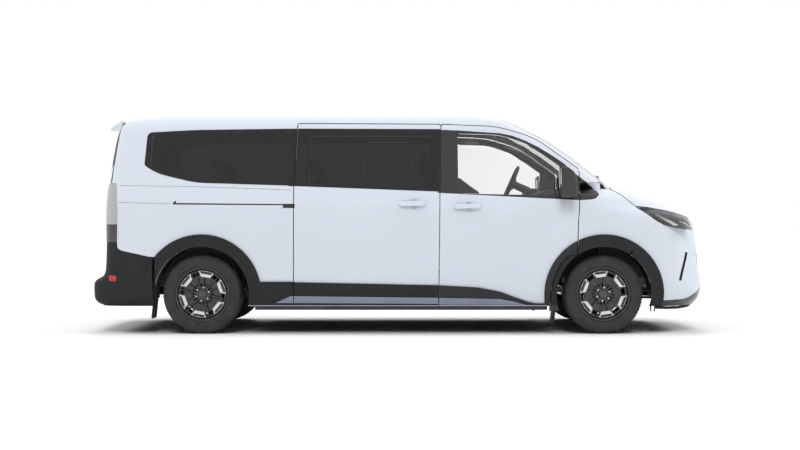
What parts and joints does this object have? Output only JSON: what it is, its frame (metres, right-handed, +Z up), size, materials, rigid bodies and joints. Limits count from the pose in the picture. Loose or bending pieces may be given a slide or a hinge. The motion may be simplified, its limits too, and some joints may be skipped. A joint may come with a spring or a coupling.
{
  "type": "minibus",
  "caption": "Long-wheelbase minibus with sliding side doors, dark rear windows, black cladding, a tailgate, steered front wheels and a seated cabin.",
  "frame": {"origin": "on the ground under the middle of the vehicle", "axes": "+X forward along the vehicle, +Y to its left, +Z up"},
  "size_m": [5.4486, 2.256, 1.965],
  "materials": {
    "paint": "gloss white",
    "cladding_black": "grained satin black",
    "trim_black": "gloss black",
    "step_grey": "satin grey",
    "clear_glass": "clear",
    "dark_glass": "dark privacy glass",
    "lamp_lens": "clear lens",
    "tail_lens": "light grey lens with red behind",
    "tyre_rubber": "matt",
    "wheel_black": "black with machined faces",
    "chassis_steel": "black chassis paint",
    "floor_steel": "primer and sealant",
    "engine_metal": "cast",
    "exhaust_steel": "dull",
    "seat_fabric": "dark cloth",
    "cabin_plastic": "soft grain"
  },
  "bodies": {
    "body": {"body_side_right": "paint", "body_side_left": "paint", "roof_panel": "paint", "quarter_glass": "dark_glass", "windscreen": "clear_glass", "cowl": "trim_black", "sliding_door_right": "paint", "sliding_door_left": "paint", "sliding_door_glass": "dark_glass", "front_fenders": "paint", "headlamps": "lamp_lens", "front_bumper": "paint", "front_grille": "trim_black", "tail_lamps": "tail_lens", "rear_bumper": "cladding_black", "cladding": "cladding_black", "floor_pan": "floor_steel", "arch_liners": "cladding_black", "dashboard": "cabin_plastic", "steering_wheel": "cabin_plastic", "front_seats": "seat_fabric", "rear_seats": "seat_fabric", "engine": "engine_metal", "radiator": "chassis_steel", "front_subframe": "chassis_steel", "rear_axle": "chassis_steel", "fuel_tank": "cabin_plastic", "exhaust": "exhaust_steel", "sill_trims": "step_grey"},
    "front_door_right": {"front_door_right": "paint", "front_door_glass_right": "clear_glass", "front_door_trim_right": "cladding_black"},
    "steer_right": {"knuckle_right": "chassis_steel"},
    "wheel_front_right": {"tyre_front_right": "tyre_rubber", "rim_front_right": "wheel_black"},
    "wheel_rear_right": {"tyre_rear_right": "tyre_rubber", "rim_rear_right": "wheel_black"},
    "front_door_left": {"front_door_left": "paint", "front_door_glass_left": "clear_glass", "front_door_trim_left": "cladding_black"},
    "steer_left": {"knuckle_left": "chassis_steel"},
    "wheel_front_left": {"tyre_front_left": "tyre_rubber", "rim_front_left": "wheel_black"},
    "wheel_rear_left": {"tyre_rear_left": "tyre_rubber", "rim_rear_left": "wheel_black"},
    "tailgate": {"tailgate": "paint", "tailgate_glass": "dark_glass"},
    "bonnet": {"bonnet": "paint"}
  },
  "joints": [
    {"name": "front_door_right_hinge", "type": "hinge", "parent": "body", "child": "front_door_right", "pos_m": [1.5, -0.984, 0.86], "axis": [0, 0.0523, 0.9986], "range_deg": [0, 68]},
    {"name": "steer_right", "type": "hinge", "parent": "body", "child": "steer_right", "pos_m": [1.775, -0.775, 0.25], "axis": [0, 0.225, 0.9744], "range_deg": [-33, 33]},
    {"name": "wheel_front_right_spin", "type": "hinge", "parent": "steer_right", "child": "wheel_front_right", "pos_m": [1.775, -0.847, 0.345], "axis": [0, 1, 0], "continuous": true},
    {"name": "wheel_rear_right_spin", "type": "hinge", "parent": "body", "child": "wheel_rear_right", "pos_m": [-1.725, -0.847, 0.345], "axis": [0, 1, 0], "continuous": true},
    {"name": "front_door_left_hinge", "type": "hinge", "parent": "body", "child": "front_door_left", "pos_m": [1.5, 0.984, 0.86], "axis": [0, 0.0523, -0.9986], "range_deg": [0, 68]},
    {"name": "steer_left", "type": "hinge", "parent": "body", "child": "steer_left", "pos_m": [1.775, 0.775, 0.25], "axis": [0, -0.225, 0.9744], "range_deg": [-33, 33]},
    {"name": "wheel_front_left_spin", "type": "hinge", "parent": "steer_left", "child": "wheel_front_left", "pos_m": [1.775, 0.847, 0.345], "axis": [0, 1, 0], "continuous": true},
    {"name": "wheel_rear_left_spin", "type": "hinge", "parent": "body", "child": "wheel_rear_left", "pos_m": [-1.725, 0.847, 0.345], "axis": [0, 1, 0], "continuous": true},
    {"name": "tailgate_hinge", "type": "hinge", "parent": "body", "child": "tailgate", "pos_m": [-2.452, 0, 1.898], "axis": [0, 1, 0], "range_deg": [0, 85]},
    {"name": "bonnet_hinge", "type": "hinge", "parent": "body", "child": "bonnet", "pos_m": [1.8, 0, 1.25], "axis": [0, -1, 0], "range_deg": [0, 50]}
  ],
  "couplings": [
    {"joint": "steer_left", "follows": "steer_right", "ratio": 1}
  ]
}
